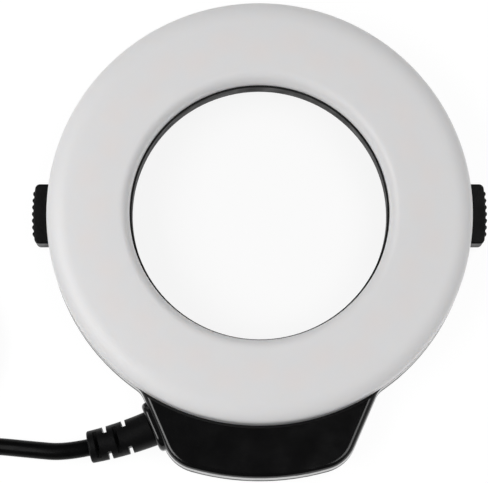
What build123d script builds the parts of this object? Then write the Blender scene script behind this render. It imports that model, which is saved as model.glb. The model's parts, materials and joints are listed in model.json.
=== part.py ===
from build123d import *

import math
import os

# Macro LED ring light, in millimetres. It lies on its back: the light shines along +Z, the chin
# points along -Y, and the origin is on the axis of the lens bore at the rear face.

# Lens bore and the ring that clips in from behind.
MOUNT_R = 38.5
RELIEF_STEP = 0.8
RELIEF_WALL = 1.5
SLEEVE_STEP = 2.5
SLEEVE_WALL = 1.2
SLEEVE_RISE = 1.0
SHOULDER_T = 1.2

# Diffuser.
DIFFUSER_OVERHANG = 0.6
DIFFUSER_HEIGHT = 8.0
DIFFUSER_WALL = 1.8
DIFFUSER_OUTER_ROUND = 5.2
DIFFUSER_INNER_ROUND = 4.4
SKIRT_WALL = 1.0
SKIRT_DEPTH = 0.9
SKIRT_FIT = 0.1
SNAP_BEAD = 0.25

# Housing shells, with the outline that both share.
FLOOR_T = 1.6
HOUSING_WALL = 2.05
HOUSING_DRAFT = 2.5
PARTING_RISE = 0.8
RIM_RISE = 1.4
RIM_STEP = 0.05
REAR_ROUND = 2.2
LIP_T = 0.8
LIP_RISE = 0.8
SHELL_FIT = 0.1

# Chin below the ring.
CHIN_RISE = 1.5
CHIN_FACE_T = 1.8
CHIN_HALF_WIDTH = 31.95
CHIN_WIDTH_IN = 7.25
CHIN_LEAN = 23.7
CHIN_BOTTOM_R = 71.0
CHIN_REACH = 14.5
CHIN_CORNER_R = 11.0
CHIN_NECK_R = 6.0
CHIN_EDGE_ROUND = 1.6
CHIN_BEVEL_WIDTH = 0.75
CHIN_BEVEL_DEPTH = 1.0

# Latch: two sliders in one layer, each a push plate, an arm half round the bore and a claw.
LAYER_GAP = 0.2
SLIDER_T = 2.8
LATCH_TRAVEL = 2.2
CLAW_REACH = 1.1
CLAW_HALF_WIDTH = 5.0
CLAW_RAMP = 1.1
CLAW_DEPTH = 4.9
CLAW_GAP = 0.9
ARM_STEP = 3.8
ARM_WIDTH = 3.7
ARM_OFFSET = 1.2
ARM_GAP = 0.5
PUSH_HALF_WIDTH = 7.4
SHOULDER_HALF_WIDTH = 11.0
STOP_GAP = 0.23
NOSE_HALF_WIDTH = 2.9
NOSE_WALL = 1.2
POST_T = 2.0
POST_WIDTH = 2.8
TENON_LENGTH = 3.0
TENON_WIDTH = 10.0
TENON_T = 1.6

# Thumb grips on the sliders.
GRIP_PROUD = 3.95
GRIP_DEPTH = 5.1
GRIP_WIDTH = 17.1
GRIP_LIFT = 0.4
GRIP_HEIGHT = 7.6
GRIP_CORNER_R = 1.4
GRIP_EDGE_ROUND = 0.5
GRIP_GAP = 0.3
RIDGE_COUNT = 7
RIDGE_PITCH = 1.93
RIDGE_R = 0.75
RIDGE_RISE = 0.4
RIDGE_END = 0.6

# Return springs.
PUSH_WALL = 1.2
SPRING_COIL_R = 1.2
SPRING_WIRE_R = 0.2
SPRING_TURNS = 6
SPRING_SIDE_GAP = 0.35

# Chassis plate, light engine and wiring.
CHASSIS_T = 1.6
CHASSIS_EDGE = 1.8
BOARD_INSET = 0.2
BOARD_BORE_GAP = 2.2
BOARD_T = 1.6
BOARD_LIFT = 1.6
TAB_WIDTH = 16.0
TAB_REACH = 1.95
LED_SIZE = 3.0
LED_HEIGHT = 1.1
LED_PER_ROW = 16
LED_INNER_INSET = 4.6
LED_OUTER_INSET = 2.7
PHOSPHOR_SIZE = 2.1
PHOSPHOR_T = 0.15
LED_WINDOW_GAP = 0.2
TRAY_T = 0.6
TRAY_RISE = 2.6
TRAY_WALL_GAP = 0.5
RESISTOR_COUNT = 6
RESISTOR_WIDTH = 1.2
RESISTOR_LENGTH = 2.0
RESISTOR_T = 0.5
TRANSISTOR_SIZE = 2.7
TRANSISTOR_T = 1.0
PART_GAP = 0.8

# Fasteners.
HOUSING_SCREW_ANGLES = (45.0, 135.0, 218.0, 322.0)
CHIN_SCREW_X = 17.0
CHIN_SCREW_OUT = 6.55
BOSS_R = 2.6
BOSS_DROP = 1.6
BOSS_TOP_DROP = 0.2
PILLAR_R = 2.9
PILLAR_GAP = 0.1
PILLAR_WALL_GAP = 0.7
HEAD_R = 1.95
HEAD_RECESS = 0.3
HEAD_T = 1.5
SHANK_R = 0.9
SHANK_LENGTH = 6.5
SCREW_FIT = 0.15
SMALL_HEAD_R = 1.6
SMALL_HEAD_T = 1.1
SMALL_SHANK_R = 0.75
SMALL_SHANK_LENGTH = 3.6
POST_R = 1.9
POST_SCREW_ANGLES = (30.0, 150.0, 210.0, 330.0)
BOARD_SCREW_INSET = 2.6
BOARD_SCREW_ANGLES = (56.25, 123.75, 236.25, 303.75)

# Cable, its collar on the chin's left flank and its strain relief.
CABLE_D = 4.8
COLLAR_WIDTH = 14.4
COLLAR_HEIGHT = 10.4
COLLAR_CORNER_R = 4.0
COLLAR_PROUD = 1.5
COLLAR_ROUND = 1.2
COLLAR_OUT = -0.25
COLLAR_LIFT = 1.0
RELIEF_YAW = 201.8
RELIEF_PITCH = -1.0
RELIEF_BEND = 10.0
RELIEF_LENGTH = 18.0
RELIEF_ROOT_D = 10.0
RELIEF_TIP_D = 9.0
RELIEF_TIP_ROUND = 0.6
RELIEF_NECK_D = 7.8
RELIEF_STATIONS = 3
RELIEF_FLANGE_T = 1.8
RELIEF_FIT = 0.1
RELIEF_SLOTS = 4
RELIEF_SLOT_FIRST = 6.9
RELIEF_SLOT_PITCH = 2.87
RELIEF_SLOT_WIDTH = 1.15
RELIEF_SLOT_DEPTH = 1.9
CORE_TAIL = 8.5
WIRE_R = 0.6
WIRE_SPREAD = 0.9
WIRE_RUN = 3.0
CONNECTOR = (8.0, 5.0, 3.0)
CONNECTOR_INSET = 3.5

# Free run of the cable after the strain relief, then its coil, tie and plug.
CABLE_POINTS = [
    (-63.2, -66.3, 5.2),
    (-75.0, -65.0, 2.65),
    (-86.5, -64.8, 2.5),
]
FIRST_RUN = 7.0
LAST_RUN = 9.0
COIL_CENTRE_X = -104.5
COIL_CENTRE_Y = -36.6
COIL_START_R = 30.0
COIL_TURN_GAP = 0.5
COIL_LAYER_GAP = 0.45
COIL_TURNS = 2
COIL_DIP = 0.9
COIL_TAIL = 13.0
TIE_T = 0.5
TIE_WIDTH = 5.0
TIE_HEAD_LENGTH = 7.0
TIE_HEAD_T = 2.0
TIE_FIT = 0.05
TIE_ANGLE = 50.0
PLUG_TAPER_LENGTH = 10.0
PLUG_TAPER_WALL = 0.7
PLUG_NECK_R = 4.6
PLUG_LENGTH = 24.0
PLUG_ROUND = 1.6
PLUG_GROOVES = 5
PLUG_GROOVE_FIRST = 8.4
PLUG_GROOVE_PITCH = 2.0
PLUG_GROOVE_WIDTH = 0.8
PLUG_GROOVE_DEPTH = 0.5
PLUG_SHELL_R = 6.6
PLUG_SHELL_T = 0.5
PLUG_SHELL_LENGTH = 9.0
PLUG_SHELL_ROOT = 4.5
PLUG_CORE_RECESS = 1.5
PIN_R = 0.7
PIN_ROOT = 2.25
PIN_LENGTH = 6.0
PIN_CIRCLE_R = 3.5
PIN_COUNT = 5
PIN_STEP_ANGLE = 45.0

# Heights that follow from the stack of layers.
SLIDER_Z = FLOOR_T + LAYER_GAP
CHASSIS_Z = SLIDER_Z + SLIDER_T + LAYER_GAP
CHASSIS_TOP = CHASSIS_Z + CHASSIS_T
BOARD_Z = CHASSIS_TOP + BOARD_LIFT
BOARD_TOP = BOARD_Z + BOARD_T
PARTING_Z = CHASSIS_Z + PARTING_RISE
RIM_Z = BOARD_TOP + RIM_RISE
CHIN_Z = RIM_Z + CHIN_RISE
CHIN_CEILING = CHIN_Z - CHIN_FACE_T
DIFFUSER_TOP_Z = RIM_Z + DIFFUSER_HEIGHT
SLEEVE_TOP = RIM_Z + SLEEVE_RISE
BOSS_FOOT_Z = PARTING_Z - BOSS_DROP
GRIP_Z0 = FLOOR_T + GRIP_LIFT
GRIP_TOP = GRIP_Z0 + GRIP_HEIGHT
COLLAR_Z = PARTING_Z + COLLAR_LIFT
CABLE_R = CABLE_D / 2
COIL_Z = CABLE_R + TIE_T + TIE_FIT
COIL_TURN_STEP = CABLE_D + COIL_TURN_GAP
COIL_LAYER_STEP = CABLE_D + COIL_LAYER_GAP
PLUG_Z = COIL_Z + COIL_LAYER_STEP

# Radii that follow one another from the bore outwards.
RELIEF_R = MOUNT_R + RELIEF_STEP
SLEEVE_R = MOUNT_R - SLEEVE_STEP
DIFFUSER_BORE_R = SLEEVE_R + SLEEVE_WALL - DIFFUSER_OVERHANG
ARM_R = MOUNT_R + ARM_STEP
POST_SCREW_R = ARM_R + ARM_WIDTH + ARM_OFFSET + ARM_GAP + POST_R
CHASSIS_R = POST_SCREW_R + CHASSIS_EDGE
HOUSING_SCREW_R = CHASSIS_R + PILLAR_GAP + PILLAR_R
CAVITY_R = HOUSING_SCREW_R + PILLAR_R + PILLAR_WALL_GAP
RIM_R = CAVITY_R + HOUSING_WALL
DIFFUSER_R = RIM_R - RIM_STEP
BOARD_R = CHASSIS_R - BOARD_INSET
BOARD_BORE_R = DIFFUSER_BORE_R + DIFFUSER_WALL + BOARD_BORE_GAP
BOARD_SCREW_R = BOARD_BORE_R + BOARD_SCREW_INSET
LED_INNER_R = BOARD_BORE_R + LED_INNER_INSET
LED_OUTER_R = BOARD_R - LED_OUTER_INSET
GRIP_FACE_R = RIM_R + GRIP_PROUD

# Places along the latch's line of travel, and down the chin.
CLAW_BACK_X = MOUNT_R + CLAW_DEPTH
NOSE_X = CLAW_BACK_X + 2 * LATCH_TRAVEL + CLAW_GAP
POST_X = NOSE_X + NOSE_WALL + SHELL_FIT + POST_T / 2
GRIP_IN_X = GRIP_FACE_R - GRIP_DEPTH
PUSH_OUT_X = GRIP_IN_X - GRIP_GAP
SPRING_FOOT_X = POST_X + POST_T / 2
SPRING_HEAD_X = PUSH_OUT_X - PUSH_WALL
SHOULDER_X = math.sqrt((CAVITY_R - SHELL_FIT - LIP_T) ** 2 - SHOULDER_HALF_WIDTH**2) - STOP_GAP
CHIN_WIDTH_Y = CHIN_WIDTH_IN - RIM_R
CHIN_BOTTOM_Y = -RIM_R - CHIN_REACH
CHIN_SCREW_Y = -RIM_R - CHIN_SCREW_OUT
COLLAR_Y = -RIM_R - COLLAR_OUT
TAB_END_Y = -RIM_R - TAB_REACH
CONNECTOR_Y = TAB_END_Y + CONNECTOR_INSET
STAND = (Align.CENTER, Align.CENTER, Align.MIN)


def rod(radius, z0, z1):
    """Upright cylinder from z0 to z1 on the origin's axis."""
    return Pos(0, 0, z0) * Cylinder(radius, z1 - z0, align=STAND)


def tube(outer, inner, z0, z1):
    """Upright tube on the origin's axis."""
    return rod(outer, z0, z1) - rod(inner, z0 - 1, z1 + 1)


def block(x0, x1, y0, y1, z0, z1):
    """Box between two corners."""
    box = Box(x1 - x0, y1 - y0, z1 - z0, align=(Align.MIN, Align.MIN, Align.MIN))
    return Pos(x0, y0, z0) * box


def half_space(side):
    """Box that covers the strain relief's whole surroundings on one side of its plane."""
    size = 2 * (RELIEF_LENGTH + CORE_TAIL)
    return Box(size, size, size, align=(Align.CENTER, Align.CENTER, side))


def area(x0, x1, y0, y1):
    """Rectangle between two corners."""
    return Pos((x0 + x1) / 2, (y0 + y1) / 2) * Rectangle(x1 - x0, y1 - y0)


def polar(radius, angles):
    """Places on a circle, one for each angle."""
    return [Pos(radius * math.cos(math.radians(a)), radius * math.sin(math.radians(a))) for a in angles]


def ring_of(points):
    """Solid of revolution about Z from (radius, height) corners."""
    return revolve(make_face(Polyline([(r, 0, z) for r, z in points], close=True)), Axis.Z)


def chin_plan(inset):
    """Outline of the chin alone, drawn inset; its top end lies inside the ring."""
    lean = math.radians(CHIN_LEAN)
    top_y = -DIFFUSER_R / 2
    foot_y = CHIN_BOTTOM_Y - 20

    def half_width(y):
        return CHIN_HALF_WIDTH + (y - CHIN_WIDTH_Y) * math.tan(lean) - inset / math.cos(lean)

    sides = Polygon(
        (-half_width(top_y), top_y),
        (-half_width(foot_y), foot_y),
        (half_width(foot_y), foot_y),
        (half_width(top_y), top_y),
        align=None,
    )
    bottom = Pos(0, CHIN_BOTTOM_Y + CHIN_BOTTOM_R) * Circle(CHIN_BOTTOM_R - inset)
    outline = sides & bottom
    return fillet(outline.vertices().sort_by(Axis.Y)[0:2], CHIN_CORNER_R - inset)


def sharp_plan(inset):
    """Outline of ring and chin with sharp necks, drawn inset from the rim's outline."""
    return chin_plan(inset) + Circle(RIM_R - inset)


def plan(inset):
    """Outline of ring and chin, drawn inset from the rim's outline."""
    outline = sharp_plan(inset)
    return fillet(outline.vertices().sort_by(Axis.Y)[4:6], CHIN_NECK_R + inset)


def flank_frame():
    """Plane on the left flank at the collar, facing outwards, with its X along the flank."""
    lean = math.radians(CHIN_LEAN)
    x = -(CHIN_HALF_WIDTH + (COLLAR_Y - CHIN_WIDTH_Y) * math.tan(lean))
    outward = (-math.cos(lean), -math.sin(lean), 0)
    along = (math.sin(lean), -math.cos(lean), 0)
    return Plane(origin=(x, COLLAR_Y, COLLAR_Z), x_dir=along, z_dir=outward)


def relief_frame():
    """Plane at the collar's outer face, facing along the strain relief."""
    yaw = math.radians(RELIEF_YAW)
    pitch = math.radians(RELIEF_PITCH)
    axis = (math.cos(yaw) * math.cos(pitch), math.sin(yaw) * math.cos(pitch), math.sin(pitch))
    side = (-math.sin(yaw), math.cos(yaw), 0)
    root = flank_frame().offset(flare(COLLAR_Z) + COLLAR_PROUD).origin
    return Plane(origin=root, x_dir=side, z_dir=axis)


def relief_place(t):
    """Place on the strain relief's bent centre line, at a distance from the collar's face."""
    bend_r = RELIEF_LENGTH / math.radians(RELIEF_BEND)
    turn = Rot(0, -RELIEF_BEND * t / RELIEF_LENGTH, 0)
    return relief_frame().location * Pos(-bend_r, 0, 0) * turn * Pos(bend_r, 0, 0)


def flare(z):
    """How far the drafted wall stands outside the rim's outline at a height."""
    return (RIM_Z - z) * math.tan(math.radians(HOUSING_DRAFT))


def housing_block():
    """Both shells as one solid block, with its rounded edges and the cable collar."""
    body = extrude(plan(-flare(0)), CHIN_Z, taper=HOUSING_DRAFT)
    body = fillet(body.edges().group_by(Axis.Z)[-1], CHIN_EDGE_ROUND)
    body = fillet(body.edges().group_by(Axis.Z)[0], REAR_ROUND)
    collar = RectangleRounded(COLLAR_WIDTH, COLLAR_HEIGHT, COLLAR_CORNER_R)
    frame = flank_frame()
    boss = extrude(frame * collar, flare(COLLAR_Z) + COLLAR_PROUD)
    boss = fillet(boss.faces().sort_by(Axis(frame.origin, frame.z_dir))[-1].edges(), COLLAR_ROUND)
    body += boss + extrude(frame * collar, -HOUSING_WALL / 2)
    seat = rod(RIM_R + RIM_STEP / 2, RIM_Z, CHIN_Z + 1)
    edge = RIM_R + RIM_STEP / 2
    bevel = ring_of([
        (edge - 1, CHIN_Z - CHIN_BEVEL_DEPTH),
        (edge, CHIN_Z - CHIN_BEVEL_DEPTH),
        (edge + CHIN_BEVEL_WIDTH, CHIN_Z),
        (edge + CHIN_BEVEL_WIDTH, CHIN_Z + 1),
        (edge - 1, CHIN_Z + 1),
    ])
    return body - seat - bevel


def relief_room():
    """Room that the strain relief's neck and inner flange take out of the shells."""
    frame = relief_frame()
    depth = CORE_TAIL + 1
    neck = frame * Pos(0, 0, -depth) * Cylinder(RELIEF_NECK_D / 2 + RELIEF_FIT, depth + RELIEF_LENGTH, align=STAND)
    flange = frame * Pos(0, 0, -depth) * Cylinder(RELIEF_ROOT_D / 2 + RELIEF_FIT, depth, align=STAND)
    inside = flank_frame().offset(-HOUSING_WALL) * half_space(Align.MAX)
    return neck + (flange & inside & chin_layer(0))


def chin_layer(gap):
    """Everything between the rear floor and the chin's ceiling, less a gap at both."""
    return block(-RIM_R, RIM_R, CHIN_BOTTOM_Y, 0, FLOOR_T + gap, CHIN_CEILING - gap)


def grip_windows():
    """Openings for both grips through the two shells."""
    half = GRIP_WIDTH / 2 + GRIP_GAP
    low = SLIDER_Z - LAYER_GAP / 2
    high = GRIP_TOP + GRIP_GAP
    reach = GRIP_FACE_R + 5
    inner = CAVITY_R - LIP_T - 4
    return block(-reach, -inner, -half, half, low, high) + block(inner, reach, -half, half, low, high)


def housing_screw_places():
    """Places of the screws that hold the two shells together."""
    return polar(HOUSING_SCREW_R, HOUSING_SCREW_ANGLES) + [
        Pos(-CHIN_SCREW_X, CHIN_SCREW_Y),
        Pos(CHIN_SCREW_X, CHIN_SCREW_Y),
    ]


def rear_housing(whole):
    """Rear shell: mouth of the bore, locating lip, screw pillars, chassis posts and spring posts."""
    shell = split(whole, Plane.XY.offset(PARTING_Z), keep=Keep.BOTTOM)
    shell -= Pos(0, 0, FLOOR_T) * extrude(plan(HOUSING_WALL), PARTING_Z)
    shell -= rod(MOUNT_R, -1, PARTING_Z)
    inside = HOUSING_WALL + SHELL_FIT + LIP_T
    root = plan(HOUSING_WALL - SHELL_FIT) - plan(inside)
    lip = sharp_plan(HOUSING_WALL + SHELL_FIT) - plan(inside)
    shell += Pos(0, 0, PARTING_Z - 1.5 * LIP_RISE) * extrude(root, 1.5 * LIP_RISE)
    shell += Pos(0, 0, PARTING_Z - LIP_RISE) * extrude(lip, 2 * LIP_RISE)
    for place in housing_screw_places():
        shell += place * rod(PILLAR_R, FLOOR_T / 2, BOSS_FOOT_Z)
    for place in housing_screw_places():
        shell -= place * rod(SHANK_R + SCREW_FIT, -1, PARTING_Z)
        shell -= place * rod(HEAD_R + SCREW_FIT, -1, HEAD_RECESS + HEAD_T)
    for place in polar(POST_SCREW_R, POST_SCREW_ANGLES):
        shell += place * (rod(POST_R, FLOOR_T / 2, CHASSIS_Z) - rod(SMALL_SHANK_R, FLOOR_T, PARTING_Z))
    for side in (-1, 1):
        x = side * POST_X
        shell += block(
            x - POST_T / 2, x + POST_T / 2, -POST_WIDTH / 2, POST_WIDTH / 2, FLOOR_T / 2, CHASSIS_Z - LAYER_GAP / 2
        )
    return shell - grip_windows() - relief_room()


def front_housing(whole):
    """Front shell: rim that carries the diffuser, chin face, screw bosses and snap groove."""
    shell = split(whole, Plane.XY.offset(PARTING_Z), keep=Keep.TOP)
    roof = BOARD_TOP + BOSS_TOP_DROP / 2
    chin_room = Pos(0, 0, PARTING_Z - 1) * extrude(chin_plan(HOUSING_WALL), CHIN_CEILING - PARTING_Z + 1)
    chin_room -= tube(RIM_R + HOUSING_WALL, CAVITY_R - 1, roof, CHIN_Z)
    shell -= chin_room
    shell -= rod(CAVITY_R, PARTING_Z - 1, CHIN_Z)
    bead = CAVITY_R + SNAP_BEAD
    shell -= tube(bead, CAVITY_R - 1, RIM_Z - SKIRT_DEPTH + SKIRT_FIT, RIM_Z - SKIRT_DEPTH / 4)
    boss_top = BOARD_TOP - BOSS_TOP_DROP
    for angle, place in zip(HOUSING_SCREW_ANGLES, polar(HOUSING_SCREW_R, HOUSING_SCREW_ANGLES)):
        rib = Rot(0, 0, angle) * block(
            HOUSING_SCREW_R, CAVITY_R + SHELL_FIT, -BOSS_R / 2, BOSS_R / 2,
            PARTING_Z + LIP_RISE + SHELL_FIT, boss_top,
        )
        shell += place * rod(BOSS_R, BOSS_FOOT_Z, boss_top) + rib
    for side in (-1, 1):
        shell += Pos(side * CHIN_SCREW_X, CHIN_SCREW_Y) * rod(BOSS_R, BOSS_FOOT_Z, CHIN_CEILING + CHIN_FACE_T / 2)
    for place in housing_screw_places():
        shell -= place * rod(SHANK_R, 0, HEAD_RECESS + HEAD_T + SHANK_LENGTH + SCREW_FIT)
    return shell - grip_windows() - relief_room()


def chassis():
    """Plate over the latch layer, with the seat of the clipped ring and the sleeve round the bore."""
    plate = tube(CHASSIS_R, MOUNT_R, CHASSIS_Z, CHASSIS_TOP)
    fence = tube(RELIEF_R + RELIEF_WALL, RELIEF_R, FLOOR_T + LAYER_GAP / 2, CHASSIS_Z)
    half = CLAW_HALF_WIDTH + 3 * LAYER_GAP
    fence -= block(-DIFFUSER_R, DIFFUSER_R, -half, half, 0, CHASSIS_Z)
    shoulder = tube(RELIEF_R + RELIEF_WALL / 2, SLEEVE_R, CHASSIS_TOP, CHASSIS_TOP + SHOULDER_T)
    sleeve = tube(SLEEVE_R + SLEEVE_WALL, SLEEVE_R, CHASSIS_TOP, SLEEVE_TOP)
    body = plate + fence + shoulder + sleeve
    for place in polar(BOARD_SCREW_R, BOARD_SCREW_ANGLES):
        body += place * rod(POST_R, CHASSIS_TOP, BOARD_Z)
        body -= place * rod(SMALL_SHANK_R, CHASSIS_Z - 1, BOARD_Z)
    for place in polar(POST_SCREW_R, POST_SCREW_ANGLES):
        body -= place * rod(SMALL_SHANK_R + SCREW_FIT, CHASSIS_Z - 1, CHASSIS_TOP + 1)
    return body


def slider():
    """Left latch slider: push plate at -X, arm over the upper half and claw at +X."""
    slot_in = NOSE_X + NOSE_WALL
    slot_half = SPRING_COIL_R + SPRING_WIRE_R + SPRING_SIDE_GAP
    arm_foot = CLAW_HALF_WIDTH + LATCH_TRAVEL / 2
    shape = area(-PUSH_OUT_X, -POST_X, -PUSH_HALF_WIDTH, PUSH_HALF_WIDTH)
    shape += area(-SHOULDER_X, -POST_X, -SHOULDER_HALF_WIDTH, SHOULDER_HALF_WIDTH)
    shape += area(-POST_X - 1, -NOSE_X, -NOSE_HALF_WIDTH, NOSE_HALF_WIDTH)
    shape -= area(-SPRING_HEAD_X, -slot_in, -slot_half, slot_half)
    band = Circle(ARM_R + ARM_WIDTH) - Circle(ARM_R)
    arm = Pos(-ARM_OFFSET, 0) * band
    reach = ARM_R + ARM_WIDTH + ARM_OFFSET + 1
    arm &= area(-reach, 0, arm_foot, reach) + area(-1, reach, CLAW_HALF_WIDTH - SHELL_FIT, reach)
    shape += arm
    shape += area(-POST_X - 1, -ARM_R - ARM_OFFSET - SHELL_FIT, arm_foot, SHOULDER_HALF_WIDTH)
    root = ARM_R - ARM_OFFSET
    shape += area(root, CLAW_BACK_X, -CLAW_HALF_WIDTH, CLAW_HALF_WIDTH + 3)
    shape += area(MOUNT_R - CLAW_REACH - 1, root + 1, -CLAW_HALF_WIDTH, CLAW_HALF_WIDTH)
    shape -= Circle(MOUNT_R - CLAW_REACH)
    body = Pos(0, 0, SLIDER_Z) * extrude(shape, SLIDER_T)
    tip = MOUNT_R - CLAW_REACH
    body -= ring_of([(tip - 1, SLIDER_Z - 1), (tip + CLAW_RAMP + 1, SLIDER_Z - 1), (tip - 1, SLIDER_Z + CLAW_RAMP + 1)])
    top = SLIDER_Z + SLIDER_T
    tenon = block(
        -PUSH_OUT_X - TENON_LENGTH, -SPRING_HEAD_X, -TENON_WIDTH / 2, TENON_WIDTH / 2, top - TENON_T, top
    )
    return body + tenon


def grip():
    """Left thumb grip: a ridged cap, concentric with the ring, with a pocket for the slider's tenon."""
    face = area(-GRIP_FACE_R - 2, -GRIP_IN_X, -GRIP_WIDTH / 2, GRIP_WIDTH / 2) & Circle(GRIP_FACE_R)
    face = fillet(face.vertices().sort_by(Axis.X)[0:2], GRIP_CORNER_R)
    body = Pos(0, 0, GRIP_Z0) * extrude(face, GRIP_HEIGHT)
    edges = body.edges().group_by(Axis.Z)
    body = fillet(edges[0] + edges[-1], GRIP_EDGE_ROUND)
    step = math.degrees(RIDGE_PITCH / GRIP_FACE_R)
    first = 180 - step * (RIDGE_COUNT - 1) / 2
    ridge_r = GRIP_FACE_R + RIDGE_RISE - RIDGE_R
    for place in polar(ridge_r, [first + step * i for i in range(RIDGE_COUNT)]):
        body += place * rod(RIDGE_R, GRIP_Z0 + RIDGE_END, GRIP_TOP - RIDGE_END)
    top = SLIDER_Z + SLIDER_T + SHELL_FIT
    low = SLIDER_Z + SLIDER_T - TENON_T - SHELL_FIT
    half = TENON_WIDTH / 2 + SHELL_FIT
    return body - block(-PUSH_OUT_X - TENON_LENGTH - SHELL_FIT, -GRIP_IN_X + 1, -half, half, low, top)


def spring():
    """Left return spring, wound along X between its post and the push plate."""
    length = SPRING_HEAD_X - SPRING_FOOT_X - 2 * SPRING_WIRE_R - SHELL_FIT
    path = Helix(pitch=length / SPRING_TURNS, height=length, radius=SPRING_COIL_R)
    wire = sweep(Plane(origin=path @ 0, z_dir=path % 0) * Circle(SPRING_WIRE_R), path=path)
    start = SPRING_FOOT_X + SPRING_WIRE_R + SHELL_FIT / 2
    return Pos(-start, 0, SLIDER_Z + SLIDER_T / 2) * Rot(0, -90, 0) * wire


def diffuser():
    """Milky cover: a rounded channel with a skirt inside the rim and one outside the sleeve."""
    r_out = DIFFUSER_R - DIFFUSER_OUTER_ROUND
    r_in = DIFFUSER_BORE_R + DIFFUSER_INNER_ROUND
    z_out = DIFFUSER_TOP_Z - DIFFUSER_OUTER_ROUND
    z_in = DIFFUSER_TOP_Z - DIFFUSER_INNER_ROUND
    under = DIFFUSER_TOP_Z - DIFFUSER_WALL
    skirt = CAVITY_R - SKIRT_FIT
    sleeve = SLEEVE_R + SLEEVE_WALL + SKIRT_FIT
    foot = RIM_Z - SKIRT_DEPTH
    mid = foot + SKIRT_DEPTH / 2
    wall_in = DIFFUSER_R - DIFFUSER_WALL
    bore_out = DIFFUSER_BORE_R + DIFFUSER_WALL
    half = math.sqrt(0.5)

    def corner(centre_r, centre_z, radius, side):
        start = (centre_r + side * radius, 0, centre_z)
        middle = (centre_r + side * radius * half, 0, centre_z + radius * half)
        end = (centre_r, 0, centre_z + radius)
        return ThreePointArc(start, middle, end)

    def run(*points):
        return Polyline([(r, 0, z) for r, z in points])

    outline = [
        run((DIFFUSER_R, RIM_Z), (DIFFUSER_R, z_out)),
        corner(r_out, z_out, DIFFUSER_OUTER_ROUND, 1),
        run((r_out, DIFFUSER_TOP_Z), (r_in, DIFFUSER_TOP_Z)),
        corner(r_in, z_in, DIFFUSER_INNER_ROUND, -1),
        run(
            (DIFFUSER_BORE_R, z_in),
            (DIFFUSER_BORE_R, SLEEVE_TOP),
            (sleeve, SLEEVE_TOP),
            (sleeve, foot),
            (bore_out, foot),
            (bore_out, z_in),
        ),
        corner(r_in, z_in, DIFFUSER_INNER_ROUND - DIFFUSER_WALL, -1),
        run((r_in, under), (r_out, under)),
        corner(r_out, z_out, DIFFUSER_OUTER_ROUND - DIFFUSER_WALL, 1),
        run(
            (wall_in, z_out),
            (skirt - SKIRT_WALL, z_out - (wall_in - skirt + SKIRT_WALL)),
            (skirt - SKIRT_WALL, foot),
            (skirt, foot),
            (skirt, mid - SNAP_BEAD),
            (skirt + SNAP_BEAD, mid),
            (skirt, mid + SNAP_BEAD),
            (skirt, RIM_Z),
            (DIFFUSER_R, RIM_Z),
        ),
    ]
    return revolve(make_face(Curve() + outline), Axis.Z)


def led_places():
    """Places of the light emitting diodes in two staggered rows, each turned to face the centre."""
    places = []
    step = 360 / LED_PER_ROW
    for i in range(LED_PER_ROW):
        places.append(Rot(0, 0, i * step) * Pos(LED_INNER_R, 0))
        places.append(Rot(0, 0, (i + 0.5) * step) * Pos(LED_OUTER_R, 0))
    return places


def led_board():
    """Ring circuit board with a tab into the chin."""
    shape = Circle(BOARD_R) + area(-TAB_WIDTH / 2, TAB_WIDTH / 2, TAB_END_Y, -BOARD_BORE_R) - Circle(BOARD_BORE_R)
    for place in polar(BOARD_SCREW_R, BOARD_SCREW_ANGLES):
        shape -= place * Circle(SMALL_SHANK_R + SCREW_FIT)
    return Pos(0, 0, BOARD_Z) * extrude(shape, BOARD_T)


def led_packages():
    """Light emitting diodes on the board."""
    half = LED_SIZE / 2
    chip = block(-half, half, -half, half, BOARD_TOP, BOARD_TOP + LED_HEIGHT)
    return Compound(children=[place * chip for place in led_places()])


def led_phosphors():
    """Yellow windows of the light emitting diodes."""
    half = PHOSPHOR_SIZE / 2
    top = BOARD_TOP + LED_HEIGHT
    pad = block(-half, half, -half, half, top, top + PHOSPHOR_T)
    return Compound(children=[place * pad for place in led_places()])


def reflector_tray():
    """White tray that stands on the board, with a window for each diode and flared edges."""
    r0 = BOARD_BORE_R + TRAY_T
    r1 = BOARD_R + TRAY_T
    inner = DIFFUSER_BORE_R + DIFFUSER_WALL + TRAY_WALL_GAP
    outer = CAVITY_R - SKIRT_FIT - SKIRT_WALL - TRAY_WALL_GAP
    z0 = BOARD_TOP
    z1 = BOARD_TOP + TRAY_RISE
    body = ring_of([
        (inner, z1), (r0, z0), (r1, z0), (outer, z1),
        (outer - TRAY_T, z1 + TRAY_T), (r1, z0 + TRAY_T), (r0, z0 + TRAY_T), (inner + TRAY_T, z1 + TRAY_T),
    ])
    half = LED_SIZE / 2 + LED_WINDOW_GAP
    for place in led_places():
        body -= place * block(-half, half, -half, half, z0 - 1, z0 + 1)
    for place in polar(BOARD_SCREW_R, BOARD_SCREW_ANGLES):
        body -= place * rod(SMALL_HEAD_R + SCREW_FIT, z0 - 1, z0 + 1)
    return body


def board_components():
    """Current limiting resistors and two driver transistors on the board's tab."""
    parts = []
    inner = CONNECTOR_Y + CONNECTOR[1] / 2 + PART_GAP
    for i in range(RESISTOR_COUNT):
        x = (i + 1 - (RESISTOR_COUNT + 1) / 2) * TAB_WIDTH / (RESISTOR_COUNT + 1)
        half = RESISTOR_WIDTH / 2
        parts.append(block(x - half, x + half, inner, inner + RESISTOR_LENGTH, BOARD_Z - RESISTOR_T, BOARD_Z))
    x0 = CONNECTOR[0] / 2 + PART_GAP
    x1 = x0 + TRANSISTOR_SIZE
    for y0 in (CONNECTOR_Y - TRANSISTOR_SIZE - PART_GAP / 4, CONNECTOR_Y + PART_GAP / 4):
        parts.append(block(x0, x1, y0, y0 + TRANSISTOR_SIZE, BOARD_Z - TRANSISTOR_T, BOARD_Z))
    return Compound(children=parts)


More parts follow.
